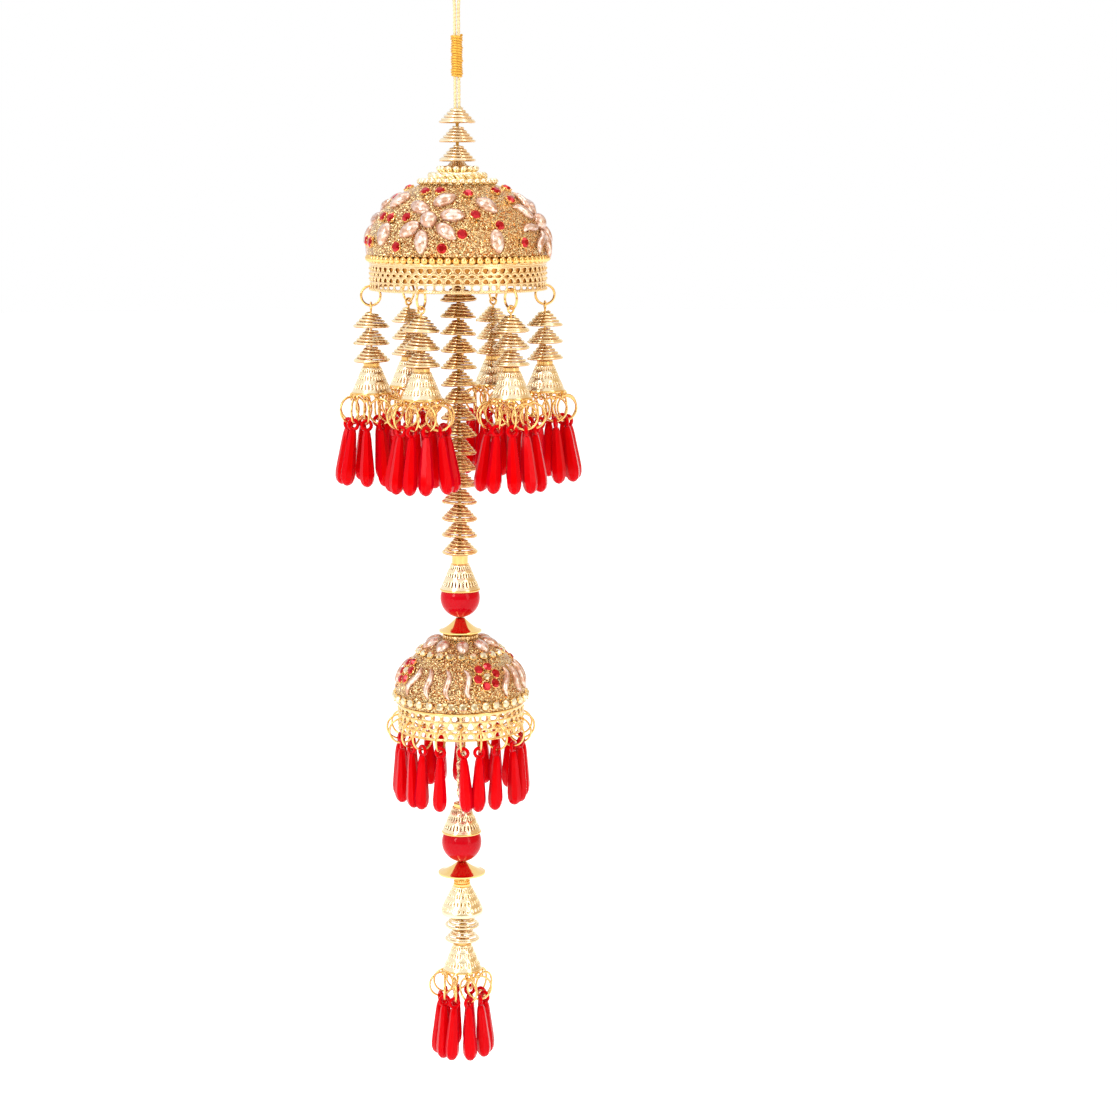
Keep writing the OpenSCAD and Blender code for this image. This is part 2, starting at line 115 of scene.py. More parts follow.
def tube_ring(bm, radius, wire, segments, sides, place=Matrix()):
    """A closed ring of round wire in the XY plane, then placed."""
    made = bmesh.ops.create_circle(bm, segments=sides, radius=wire)["verts"]
    bmesh.ops.transform(
        bm, matrix=Matrix.Translation((radius, 0, 0)) @ turned("X", 90), verts=made)
    edges = list({e for v in made for e in v.link_edges})
    before = set(bm.verts) - set(made)
    bmesh.ops.spin(bm, geom=made + edges, cent=(0, 0, 0), axis=(0, 0, 1),
                   angle=2 * math.pi, steps=segments, use_merge=True)
    verts = [v for v in bm.verts if v not in before]
    faces = list({f for v in verts for f in v.link_faces})
    bmesh.ops.transform(bm, matrix=place, verts=verts)
    bmesh.ops.recalc_face_normals(bm, faces=faces)


# %% [markdown]
# ## Placing, stamping and finishing
# The strand repeats its parts: 39 coils, 90 drops, hundreds of balls. Each could be an object of its
# own, but that makes the file heavy. So a shape is made once and stamped into one piece at every
# place it takes. A piece is then scaled to metres, gets its material and rides on its body.

# %% Stamp and piece


def turned(axis, degrees):
    return Matrix.Rotation(math.radians(degrees), 4, axis)


def down(depth, radius=0.0):
    return Matrix.Translation((radius, 0, -depth))


def around(count, turn=0.0):
    """The turns about Z of things spaced evenly round a circle."""
    return [turned("Z", turn + 360 * i / count) for i in range(count)]


def shape(bm, name):
    """Keeps what a bmesh holds as a mesh that stamp() can use again."""
    mesh = bpy.data.meshes.new(name)
    bm.to_mesh(mesh)
    bm.free()
    return mesh


def sphere(name, across, high, radius=1):
    """A ball to stamp, with so many faces across and high."""
    bm = bmesh.new()
    bmesh.ops.create_uvsphere(bm, u_segments=across, v_segments=high, radius=radius)
    return shape(bm, name)


def stamp(bm, mesh, place):
    copy = mesh.copy()
    copy.transform(place)
    bm.from_mesh(copy)
    bpy.data.meshes.remove(copy)


def stamp_round(bm, mesh, count, depth, radius, turn=0.0, size=(1, 1, 1), slant=0.0):
    """Stamps a shape evenly round the strand, sized and slanted the same each time."""
    for spot in around(count, turn):
        stamp(bm, mesh, spot @ down(depth, radius) @ turned("X", slant) @ Matrix.Diagonal((*size, 1)))


def piece(name, bm, material, body="strand", stands_for=(), sharp=50):
    """Makes a finished piece of the object from a bmesh in millimetres.

    Faces that meet at more than sharp degrees keep a crisp edge.
    """
    bm.transform(Matrix.Scale(MM, 4))
    mesh = shape(bm, name)
    mesh.materials.append(material)
    mesh.shade_smooth()
    mesh.set_sharp_from_angle(angle=math.radians(sharp))
    made = bpy.data.objects.new(name, mesh)
    scene.collection.objects.link(made)
    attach(made, body)
    if stands_for:
        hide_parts(*stands_for)
    print(name, len(mesh.polygons), "faces on", body)
    return made


random.seed(11)

# %% [markdown]
# ## Materials: one helper for colour, one for nodes
# Each finish below starts from what the real thing is made of. Colours are picked as the sRGB hex
# values that a screen shows, and a shader works in linear light, so one function turns one into the
# other. Another adds a node, sets it and links it, which keeps each finish to a few lines. Most
# finishes mix two colours or stretch a value smoothly, so those two nodes have a name.

# %% Colour and nodes
MIX = "ShaderNodeMix", {"data_type": "RGBA"}
SMOOTH_RANGE = "ShaderNodeMapRange", {"interpolation_type": "SMOOTHSTEP"}


def colour(code):
    """The linear RGBA of an sRGB hex value."""
    parts = [int(code[i:i + 2], 16) / 255 for i in (1, 3, 5)]
    return [c / 12.92 if c <= 0.04045 else ((c + 0.055) / 1.055) ** 2.4 for c in parts] + [1]


def add(tree, kind, settings=None, inputs=None):
    """Adds a node, sets its properties, and fills its inputs with values or other nodes' outputs."""
    node = tree.nodes.new(kind)
    for key, value in (settings or {}).items():
        setattr(node, key, value)
    for key, value in (inputs or {}).items():
        if isinstance(value, bpy.types.NodeSocket):
            tree.links.new(value, node.inputs[key])
        else:
            node.inputs[key].default_value = value
    return node


def finish_of(name, **sockets):
    """A new material with the constant values that its shader's own sockets get."""
    material = bpy.data.materials.new(name)
    material.use_nodes = True
    shader = material.node_tree.nodes["Principled BSDF"]
    for key, value in sockets.items():
        shader.inputs[key.replace("_", " ")].default_value = value
    return material, material.node_tree, shader


def grained(name, low, high, size, rough=None, relief=0.0, step=0.02, under=None, **sockets):
    """A finish with a cloudy shade, uneven polish and fine relief. Sizes are in millimetres.

    Where under is given, it is a painted shade: the colour of the parts that face down.
    """
    material, tree, shader = finish_of(name, **sockets)
    where = add(tree, "ShaderNodeTexCoord").outputs["Object"]
    cloud = add(tree, "ShaderNodeTexNoise", {}, {"Vector": where, "Scale": 1 / (size * MM), "Detail": 3})
    shade = add(tree, *MIX, {"Factor": cloud.outputs["Fac"], "A": colour(low), "B": colour(high)})
    # Painted shade: the faces that point down take the under colour.
    if under:
        facing = add(tree, "ShaderNodeNewGeometry").outputs["Normal"]
        facing = add(tree, "ShaderNodeSeparateXYZ", {}, {"Vector": facing})
        upper = add(tree, "ShaderNodeMapRange", {},
                    {"Value": facing.outputs["Z"], "From Min": -0.7, "From Max": 0.1})
        shade = add(tree, *MIX, {"Factor": upper.outputs["Result"], "A": colour(under),
                                 "B": shade.outputs["Result"]})
    tree.links.new(shade.outputs["Result"], shader.inputs["Base Color"])
    if rough:
        worn = add(tree, "ShaderNodeMapRange", {},
                   {"Value": cloud.outputs["Fac"], "From Min": 0.3, "From Max": 0.7,
                    "To Min": rough[0], "To Max": rough[1]})
        tree.links.new(worn.outputs["Result"], shader.inputs["Roughness"])
    if relief:
        fine = add(tree, "ShaderNodeTexNoise", {},
                   {"Vector": where, "Scale": 1 / (relief * MM), "Detail": 2})
        bump = add(tree, "ShaderNodeBump", {},
                   {"Height": fine.outputs["Fac"], "Strength": 0.5, "Distance": step * MM})
        tree.links.new(bump.outputs["Normal"], shader.inputs["Normal"])
    return material


# %% [markdown]
# ## Materials: metals
# The rings, balls and saucers are brass with a bright gold-coloured plating, polished by tumbling:
# it gives a clean yellow mirror that is softened a little where it is worn. The wire of the column
# has a redder plating, the tassels' wire a lighter one, and the wire at both ends of the strand a
# pale one. Under each turn of a coil, the faces that point down get a darker copper colour: a
# painted shade that draws the lines that make a coil look wound. The bands are slightly grainy from
# the mould, and the cones and the cap are pale and smooth.

# %% Plated brass, coiled wire and cast filigree
METAL = {"Metallic": 1.0}
plated_brass = grained("gold plated brass, tumbled", "#EBB45A", "#FBDA9A", 2.5, (0.12, 0.24), **METAL)
polished_gilt = grained("gold plated brass, polished", "#F2C468", "#FFE0A0", 4, (0.06, 0.12), **METAL)
# under is a painted shade on the faces of the wire that point down.
copper_wire = grained(
    "copper gold plated wire, wound", "#FACE84", "#FFE8B0", 7, (0.14, 0.2), under="#A65826", **METAL)
tassel_wire = grained(
    "light copper gold plated wire", "#FFDEA0", "#FFF6CE", 7, (0.14, 0.2), under="#B87438", **METAL)
pale_wire = grained(
    "pale gold plated wire, wound", "#FAE0B0", "#FFF6DA", 7, (0.14, 0.2), under="#C8924E", **METAL)
cast_filigree = grained(
    "pale gold plated alloy, cast", "#E8C080", "#F6DCB0", 1.8, (0.16, 0.3), relief=0.25, step=0.03,
    **METAL)
pale_cast = grained(
    "pale gold plated alloy, cast thin", "#F8E2B0", "#FFF2D4", 5, (0.16, 0.28), **METAL)
hidden_steel = grained(
    "gold coloured steel wire, drawn", "#A8782E", "#D2A24C", 2, (0.25, 0.4), **METAL)
print("metals from", plated_brass.name, "to", hidden_steel.name)

# %% [markdown]
# ## Materials: glitter
# The domes are shells coated with gold glitter: thousands of foil flakes of about a third of a
# millimetre that lie at all angles. Each cell of a Voronoi pattern is one flake here. It takes its
# tilt from its cell's random colour, so some flakes flash and others stay dark brown.

# %% Glitter
FLAKE, FLAKE_TILT = 0.34, 1.9
gold_glitter, tree, shader = finish_of("gold foil glitter in lacquer", Metallic=0.9, Roughness=0.22)
where = add(tree, "ShaderNodeTexCoord").outputs["Object"]
flake = add(tree, "ShaderNodeTexVoronoi", {}, {"Vector": where, "Scale": 1 / (FLAKE * MM)})
tilt = add(tree, "ShaderNodeVectorMath", {"operation": "SUBTRACT"},
           {0: flake.outputs["Color"], 1: (0.5, 0.5, 0.5)})
tilt = add(tree, "ShaderNodeVectorMath", {"operation": "SCALE"},
           {0: tilt.outputs["Vector"], "Scale": FLAKE_TILT})
face = add(tree, "ShaderNodeNewGeometry").outputs["Normal"]
face = add(tree, "ShaderNodeVectorMath", {"operation": "ADD"}, {0: face, 1: tilt.outputs["Vector"]})
face = add(tree, "ShaderNodeVectorMath", {"operation": "NORMALIZE"}, {0: face.outputs["Vector"]})
tree.links.new(face.outputs["Vector"], shader.inputs["Normal"])
pick = add(tree, "ShaderNodeSeparateColor", {}, {"Color": flake.outputs["Color"]})
spread = add(tree, *SMOOTH_RANGE, {"Value": pick.outputs["Red"], "From Min": 0.12, "From Max": 0.95})
shade = add(tree, *MIX, {"Factor": spread.outputs["Result"], "A": colour("#AA5A12"),
                         "B": colour("#FFEAB0")})
tree.links.new(shade.outputs["Result"], shader.inputs["Base Color"])
# A brown sheet behind the band's upper openings: painted shade seen through them.
lining_painted_shade = grained(
    "brown gold sheet, painted shade", "#B06820", "#E0A048", 2, (0.3, 0.45), Metallic=0.6)
print("one flake in", FLAKE, "mm")

# %% [markdown]
# ## Materials: pearl
# The pearls are moulded resin with a pink nacre lacquer: milky patches under a clear gloss, and a
# painted shade that darkens them to brown towards the edges. An image could give the patches, but a
# cloud pattern needs no unwrapping.

# %% Pearl
MILKY_PATCH = 1.6
pearl, tree, shader = finish_of(
    "resin pearl, nacre lacquer", Metallic=0.5, Roughness=0.2, Coat_Weight=1.0, Coat_Roughness=0.05)
where = add(tree, "ShaderNodeTexCoord").outputs["Object"]
cloud = add(tree, "ShaderNodeTexNoise", {}, {"Vector": where, "Scale": 1 / (MILKY_PATCH * MM)})
patch = add(tree, "ShaderNodeMapRange", {},
            {"Value": cloud.outputs["Fac"], "From Min": 0.4, "From Max": 0.6})
milky = add(tree, *MIX, {"Factor": patch.outputs["Result"], "A": colour("#D6A282"),
                         "B": colour("#FFECDE")})
# Painted shade: brown where the surface turns away from the view.
rim = add(tree, "ShaderNodeLayerWeight", {}, {"Blend": 0.5})
shade = add(tree, *MIX, {"Factor": rim.outputs["Facing"], "A": milky.outputs["Result"],
                         "B": colour("#965432")})
tree.links.new(shade.outputs["Result"], shader.inputs["Base Color"])
print("milky patches of", MILKY_PATCH, "mm")

# %% [markdown]
# ## Materials: stones, beads, drops and thread
# The stones are pressed glass with foil behind, which is why they flash like metal. The beads are
# glossy opaque resin. The drops are red acrylic that lets some light through, and its moulding
# leaves the surface softly polished. A painted shade deepens them to crimson at the edges that turn
# away.

# %% Glass, resin, acrylic and thread
red_stone = grained(
    "red foiled glass, pressed", "#8E000C", "#DC0A1E", 0.7, (0.05, 0.12),
    Metallic=0.7, Coat_Weight=0.3, Coat_Roughness=0.03)
clear_stone = grained(
    "clear foiled glass, pressed", "#CDB98C", "#FFF2D0", 1.2, (0.06, 0.14),
    Metallic=0.85, Coat_Weight=1.0, Coat_Roughness=0.04)
red_bead = grained(
    "red resin bead, polished", "#B80012", "#CC0018", 6, (0.05, 0.1), Specular_IOR_Level=0.15)
red_acrylic, tree, shader = finish_of(
    "red acrylic, moulded", IOR=1.49, Roughness=0.14, Specular_IOR_Level=0.1,
    Specular_Tint=(1, 0.25, 0.3, 1), Transmission_Weight=0.3)
# Painted shade: crimson where the surface turns away from the view.
rim = add(tree, "ShaderNodeLayerWeight", {}, {"Blend": 0.35})
shade = add(tree, *MIX, {"Factor": rim.outputs["Facing"], "A": colour("#EC0004"), "B": colour("#C0062C")})
tree.links.new(shade.outputs["Result"], shader.inputs["Base Color"])
gold_thread = grained(
    "metallic thread, twisted", "#E0C07C", "#FCF0C8", 0.6, (0.32, 0.5), relief=0.2, step=0.05,
    Metallic=0.7, Sheen_Weight=0.3)
binding_thread = grained(
    "metallic thread, deep gold", "#C8881C", "#FACC58", 0.8, (0.32, 0.5), relief=0.2, step=0.05,
    Metallic=0.7, Sheen_Weight=0.2)
print(len(bpy.data.materials), "materials in all")

# %% [markdown]
# ## The thread
# The ornament hangs by one metallic thread, doubled, whose fold is the loop. It could be a curve
# with a bevel, but real thread is plied: three strands twisted together, which shows as slanting
# ridges. So a section with three lobes is pulled along the route and turned as it goes.

# %% The thread's route
THREAD_D, PLY_PITCH = 1.25, 4.2
PLIES, PLY_RIDGE = 3, 0.12
HALF_ROUTE = [(-0.7, 3.5 * i - 55) for i in range(9)] + [
    (-0.7, -24), (-0.7, -21), (-0.7, -18), (-0.9, -15), (-1.6, -12), (-2.6, -9), (-3.3, -6), (-3, -3),
    (-1.7, -1.1)]
ROUTE = [Vector((x, 0, z)) for x, z in HALF_ROUTE + [(0, -0.63)]]
ROUTE += [Vector((-x, 0, z)) for x, z in reversed(HALF_ROUTE)]


def halved(points):
    """The points with a smooth one between each two, as the frame's thread has."""
    out = []
    last = len(points) - 1
    for i, p in enumerate(points[:-1]):
        before, beyond = points[max(0, i - 1)], points[min(last, i + 2)]
        out += [p, (9 * (p + points[i + 1]) - before - beyond) / 16]
    return out + [points[-1]]


def stations_along(points, twist_pitch):
    """A matrix at each point of a route in the XZ plane, turning once in each twist pitch."""
    out, run = [], 0.0
    for i, p in enumerate(points):
        ahead = points[min(i + 1, len(points) - 1)] - points[max(i - 1, 0)]
        ahead.normalize()
        side = Vector((0, 1, 0))
        frame_here = Matrix((ahead.cross(side), side, ahead)).transposed().to_4x4()
        out.append(Matrix.Translation(p) @ frame_here @ turned("Z", 360 * run / twist_pitch))
        run += (points[min(i + 1, len(points) - 1)] - p).length
    return out


thread_path = halved(halved(halved(ROUTE)))
bm = bmesh.new()
pull(bm, stations_along(thread_path, PLY_PITCH), 12, THREAD_D / 2 / (1 + PLY_RIDGE), PLIES, PLY_RIDGE)
thread = piece("thread_loop", bm, gold_thread, stands_for=["hanging_cord"],
               sharp=60)

# %% [markdown]
# ## The binding
# A second thread is wound round the doubled one, about sixteen turns, a little unevenly because it
# is done by hand. It is one long coil here: the same thread section pulled round a helix whose
# radius wanders slightly from turn to turn.

# %% The binding
BINDING_TOP, BINDING_H, BINDING_R = 26.8, 15.7, 2.3
BINDING_TURNS, BINDING_WIRE = 16, 0.52
BINDING_INSET, BINDING_END = 0.1, 0.55


def helix(turns, steps, place_at):
    """Stations round a helix. place_at gives (radius, depth) at a share of the way."""
    out = []
    count = round(turns * steps)
    for i in range(count + 1):
        radius, depth = place_at(i / count)
        out.append(turned("Z", 360 * turns * i / count) @ down(depth, radius) @ turned("X", 90))
    return out


def bound(t):
    wander = 0.12 * math.sin(t * 23) + 0.08 * math.sin(t * 61 + 1)
    radius = BINDING_R - BINDING_WIRE - BINDING_INSET + wander
    return radius, BINDING_TOP + BINDING_END + t * (BINDING_H - 2 * BINDING_END)


bm = bmesh.new()
pull(bm, helix(BINDING_TURNS, 18, bound), 7, BINDING_WIRE)
binding = piece("thread_binding", bm, binding_thread, stands_for=["cord_binding"],
                sharp=60)

# %% [markdown]
# ## Wire coils
# Thirty-nine cones wound from wire make up the column and the tassels. Each starts as a narrow neck,
# opens to a wide foot in a little over four turns, and ends with most of a turn that lies flat. One
# is made and stamped thirty-nine times, each with its own small turn and tilt, because they sit
# loosely on their wire.

# %% The coil
COIL_H, COIL_TURNS, COIL_WIRE = 5.95, 5.2, 0.52
COIL_NECK_R, COIL_FOOT_R = 1.6, 6.25
CLIMB_SHARE, CLIMB_BOW = 0.84, 0.95


def wound(t):
    climb = min(1.0, t / CLIMB_SHARE)
    radius = COIL_NECK_R + (COIL_FOOT_R - COIL_NECK_R) * climb ** CLIMB_BOW
    return radius, COIL_WIRE + climb * (COIL_H - 2 * COIL_WIRE)


bm = bmesh.new()
pull(bm, helix(COIL_TURNS, 20, wound), 7, COIL_WIRE)
coil = shape(bm, "coil")


def coil_stack(name, node, wire, count, depth, pitch, tilt, body="strand", place=Matrix()):
    """One piece of coils strung one under another, each tilted at random about its middle."""
    bm = bmesh.new()
    for i in range(count):
        lean = turned("X", random.uniform(-tilt, tilt)) @ turned("Y", random.uniform(-tilt, tilt))
        stamp(bm, coil, place @ down(depth + pitch * i + COIL_H / 2) @ lean @ down(-COIL_H / 2)
              @ turned("Z", random.uniform(0, 360)))
    piece(name, bm, wire, body, [node], sharp=60)


coil_stack("top_wire_coils", "top_coils", pale_wire, 3, depth=52.8, pitch=6.9, tilt=1.2)
coil_stack("column_wire_coils", "column_coils", copper_wire, 16, depth=117.35, pitch=6.26, tilt=2.4)
coil_stack("end_wire_coils", "end_coils", pale_wire, 2, depth=355.85, pitch=5.4, tilt=0.8)

# %% [markdown]
# ## The cap
# The cap on the large dome is cast in four steps: a small plain cone, a ring of balls, a thick rope
# twist and a wide beaded rim. A relief like this could be sculpted, but turning the steps on the
# lathe and stamping balls on them is nearer to how the master for the mould is made.

# %% The crown cap
bm = bmesh.new()
lathe(bm, [(0.9, 72.2), (1.6, 72.2), (2.6, 72.7), (3.6, 73.9), (5.6, 74.3), (6.3, 75.3), (7.2, 76.2),
           (8.6, 76.5), (9.2, 77.6), (10.2, 78.9), (12.6, 79.1), (13.4, 79.8), (14.0, 80.7),
           (13.4, 80.7), (11.0, 80.0), (7.5, 78.7), (0.9, 78.0)], 48)
piece("cap_body", bm, pale_cast, stands_for=["crown_cap"])

ball = sphere("ball", 10, 6)
bm = bmesh.new()
stamp_round(bm, ball, 15, depth=75.1, radius=6.75, turn=4, size=(1.2, 1.4, 1.05))
stamp_round(bm, ball, 30, depth=79.7, radius=13.7, turn=3, size=(1.3, 1.4, 1.15))
stamp_round(bm, ball, 17, depth=77.7, radius=9.6, size=(1.5, 2.7, 1.0), slant=-24)
piece("cap_beading", bm, pale_cast)

# %% [markdown]
# ## Pierced metal
# Both bands and all ten cones are cast with rows of small openings. A wall could be cut with
# booleans, but that leaves rough triangles. So a plain tube is turned with two faces for each
# opening, the two are joined and inset, the inner face is shaped and taken out, and what is left
# gets its thickness. One level of subdivision then rounds it as casting does.

# %% Pierced tubes
TRIANGLE_W, TRIANGLE_SPLAY = 0.58, 0.5
DIAMOND_W, DIAMOND_SHOULDER = 0.6, 0.1
OVAL_SHOULDER = 0.55


def radius_at(levels, depth):
    """The outline's radius at a depth. levels are (radius, depth) pairs from the top down."""
    for (r0, d0), (r1, d1) in zip(levels, levels[1:]):
        if depth <= d1:
            return r0 + (r1 - r0) * max(0.0, (depth - d0) / (d1 - d0))
    return levels[-1][0]


def pierced(bm, count, levels, openings):
    """A turned tube with a row of openings between levels i and i + 1 for each openings[i].

    An opening is (form, half, border): the form is up, down, oval, diamond or window, half is 1
    for a row that is set half a pitch along, and border is the metal left at its sides.
    """
    lathe(bm, levels, 2 * count)
    pitch = math.pi / count
    if sum(f.normal.dot(f.calc_center_median() * Vector((1, 1, 0))) for f in bm.faces) < 0:
        bmesh.ops.reverse_faces(bm, faces=bm.faces)
    for row, (form, half, border) in openings.items():
        top, bottom = levels[row][1], levels[row + 1][1]
        middle, reach = (top + bottom) / 2, (bottom - top) / 2

        def inside(co):
            return abs(-co.z - middle) < reach * 0.9

        shared = [
            e for e in bm.edges
            if inside((e.verts[0].co + e.verts[1].co) / 2)
            and abs(e.verts[0].co.z - e.verts[1].co.z) > reach
            and round(math.atan2(e.verts[0].co.y, e.verts[0].co.x) / pitch) % 2 == half]
        bmesh.ops.dissolve_edges(bm, edges=shared, use_verts=False)
        cells = [f for f in bm.faces if inside(f.calc_center_bounds())]
        centres = {f: f.calc_center_bounds() for f in cells}
        bmesh.ops.inset_individual(bm, faces=cells, thickness=border, use_even_offset=True)
        for f in cells:
            mid = math.atan2(centres[f].y, centres[f].x)
            for v in f.verts:
                off = (math.atan2(v.co.y, v.co.x) - mid + math.pi) % (2 * math.pi) - math.pi
                high = (middle + v.co.z) / reach
                corner = abs(off) > 0.2 * pitch
                if form == "down":
                    off *= TRIANGLE_W + TRIANGLE_SPLAY * high
                elif form == "up":
                    off *= TRIANGLE_W - TRIANGLE_SPLAY * high
                elif form == "diamond":
                    off, high = off * DIAMOND_W, high * (DIAMOND_SHOULDER if corner else 1)
                elif form == "oval" and corner:
                    high *= OVAL_SHOULDER
                depth = middle - high * reach
                r = radius_at(levels, depth)
                v.co = (r * math.cos(mid + off), r * math.sin(mid + off), -depth)
        bmesh.ops.delete(bm, geom=cells, context="FACES")


def thicken(made, thickness):
    wall = made.modifiers.new("wall", "SOLIDIFY")
    wall.thickness, wall.offset = thickness * MM, -1
    soft = made.modifiers.new("cast edges", "SUBSURF")
    soft.levels = soft.render_levels = 1


# %% [markdown]
# ## The large band
# The band under the large dome has four rows of openings between a plain rail and a milled rim:
# triangles that point down, small diamonds, triangles that point up, and windows. The shell's edge
# reaches down behind the three upper rows, so only the windows are open; its brown there is a
# painted shade in the openings. The tassels' jump rings pass through them and hang on the rim.

# %% The large band
BAND_TURN, BAND_WALL = 2, 0.6


def lace(name, node, count, radius, depths, openings):
    """A straight pierced band. depths are the levels between its rows, from the top down."""
    bm = bmesh.new()
    pierced(bm, count, [(radius, depth) for depth in depths], openings)
    bmesh.ops.rotate(bm, verts=bm.verts, cent=(0, 0, 0), matrix=turned("Z", BAND_TURN).to_3x3())
    thicken(piece(name, bm, cast_filigree, "strand", [node], sharp=40), BAND_WALL)


BAND_R, BAND_COUNT, RAIL_DEPTH = 32.5, 60, 118.65
lace("large_band", "big_band", BAND_COUNT, BAND_R,
     [108.85, 109.5, 110.0, 112.2, 113.8, 115.8, 118.3, 118.6],
     {2: ("down", 0, 0.26), 3: ("diamond", 1, 0.16), 4: ("up", 0, 0.26), 5: ("window", 0, 0.3)})

# The shell's edge behind the upper rows; its brown is a painted shade in the openings.
bm = bmesh.new()
lathe(bm, [(31.7, 104.5), (31.7, 115.7), (31.3, 115.7), (31.3, 104.5), (31.7, 104.5)], 72)
piece("shell_edge", bm, lining_painted_shade)

bm = bmesh.new()
tube_ring(bm, BAND_R - 0.3, 0.48, 120, 10, down(RAIL_DEPTH))
tube_ring(bm, BAND_R - 0.15, 0.42, 96, 8, down(109.2))
stamp_round(bm, ball, 3 * BAND_COUNT, RAIL_DEPTH, BAND_R + 0.12, size=(0.18, 0.3, 0.42))
bead = sphere("bead", 7, 5)
for depth, turn in ((111.2, 5), (113.0, 2), (114.9, 5)):
    stamp_round(bm, bead, BAND_COUNT, depth, BAND_R - 0.05, turn, size=(0.4, 0.5, 0.5))
piece("large_band_relief", bm, cast_filigree)

# %% [markdown]
# ## Balls and twist at the shell's edge
# Where the shell meets its band, a string of hollow brass balls covers the joint, and a twisted
# gold thread lies under it. The thread is a section of two lobes that turns as it goes round.

# %% The balls and the twist
ROW_BALL_R, ROW_BALLS = 1.42, 72
TWIST_STEPS, TWIST_TURN = 240, 18
row_ball = sphere("row ball", 14, 9, ROW_BALL_R)
bm = bmesh.new()
stamp_round(bm, row_ball, ROW_BALLS, depth=107.35, radius=32.7, turn=1)
piece("edge_balls", bm, plated_brass, stands_for=["ball_row"], sharp=60)
bm = bmesh.new()
pull(bm, [turned("Z", 360 * i / TWIST_STEPS) @ down(108.75, 32.45) @ turned("X", 90)
          @ turned("Z", TWIST_TURN * i) for i in range(TWIST_STEPS + 1)],
     6, 0.36, lobes=2, depth=0.25, closed=True)
piece("edge_twist", bm, gold_thread, sharp=60)

# %% [markdown]
# ## The small band
# The same casting in a smaller size, in plain sight from both sides: windows, triangles that the
# rings of the drops pass through, diamonds and triangles again, with thin wires between them.

# %% The small band
SMALL_BAND_R, SMALL_BAND_COUNT = 23.6, 40
lace("small_band_lace", "small_band", SMALL_BAND_COUNT, SMALL_BAND_R,
     [273.55, 274.0, 274.5, 277.1, 280.0, 281.3, 283.5, 284.0],
     {2: ("window", 1, 0.4), 3: ("up", 0, 0.24), 4: ("diamond", 1, 0.14), 5: ("up", 0, 0.24)})
bm = bmesh.new()
tube_ring(bm, SMALL_BAND_R - 0.3, 0.45, 96, 8, down(283.85))
tube_ring(bm, SMALL_BAND_R - 0.15, 0.4, 96, 8, down(274.0))
for depth in (277.15, 281.35):
    tube_ring(bm, SMALL_BAND_R, 0.24, 96, 6, down(depth))
for depth, turn in ((275.8, 2), (279.0, 6.5), (280.7, 2), (282.0, 6.5)):
    stamp_round(bm, bead, SMALL_BAND_COUNT, depth, SMALL_BAND_R - 0.1, turn, size=(0.45, 0.45, 0.55))
piece("small_band_relief", bm, plated_brass)

# %% [markdown]
# ## Filigree cones
# Ten cones cap the tassels and the beads. They are cast thin, with three rows of openings that grow
# towards the rim, raised rings between them, a plain neck and a rolled edge. A cone that carries
# drops also has ten eyelets soldered under its rim.

# %% The cones
CONE_H, CONE_NECK_H, CONE_WALL = 10.1, 1.5, 0.5
CONE_OPENINGS = 28
CONE_SIDE = [(3.35, 0.0), (3.6, 0.4), (4.3, 2.2), (4.5, 2.45), (4.55, 2.7), (5.55, 5.2), (5.75, 5.45),
             (5.8, 5.7), (7.05, 8.7), (7.2, 8.95), (7.5, 9.4)]
EYELETS, EYELET_R, EYELET_WIRE = 10, 1.16, 0.36
EYELET_DROP, EYELET_OUT = 1.05, 7.7


def cone_pieces(name, nodes, place, body="strand", height=CONE_H, neck_h=CONE_NECK_H, eyelets=True):
    """The pierced shell and the plain trim of one cone. place is its middle, at the neck's foot."""
    bm = bmesh.new()
    pierced(bm, CONE_OPENINGS, [(radius, depth * height / CONE_H) for radius, depth in CONE_SIDE],
            {1: ("oval", 0, 0.24), 4: ("oval", 1, 0.36), 7: ("oval", 0, 0.5)})
    bm.transform(place)
    thicken(piece(name + "_shell", bm, pale_cast, body, nodes, sharp=40), CONE_WALL)
    bm = bmesh.new()
    lathe(bm, [(0.95, -neck_h), (2.7, -neck_h), (3.0, 0.25 - neck_h), (3.0, -0.1), (3.45, 0.05),
               (3.45, 0.4), (2.6, 0.7), (0.95, 0.7)], 32)
    rim = bmesh.new()
    lathe(rim, [(7.1, height - 0.75), (7.45, height - 0.8), (7.6, height - 0.5),
                (7.6, height - 0.2), (7.4, height), (7.1, height - 0.1), (7.1, height - 0.75)], 40)
    stamp(bm, shape(rim, "rim"), Matrix())
    if eyelets:
        ring = bmesh.new()
        tube_ring(ring, EYELET_R, EYELET_WIRE, 12, 6, turned("Y", 90))
        stamp_round(bm, shape(ring, "eyelet"), EYELETS, height + EYELET_DROP, EYELET_OUT)
    bm.transform(place)
    piece(name + "_trim", bm, plated_brass, body, ())


UPPER_CONE_DEPTH, LOWER_CONE_DEPTH, END_CONE_DEPTH = 221.2, 314.7, 368.6
END_CONE_H = 10.5
cone_pieces("upper_filigree_cone", ["upper_cone"], down(UPPER_CONE_DEPTH), neck_h=3.7, eyelets=False)
cone_pieces("lower_filigree_cone", ["lower_cone"], down(LOWER_CONE_DEPTH), eyelets=False)
cone_pieces("end_filigree_cone", ["end_cone"], down(END_CONE_DEPTH), height=END_CONE_H)

# %% [markdown]
# ## The shoulder cone
# Under the lower saucer the cone has a rounded shoulder instead of a straight side, and a lip that
# turns in. It is the same pierced casting on another outline.

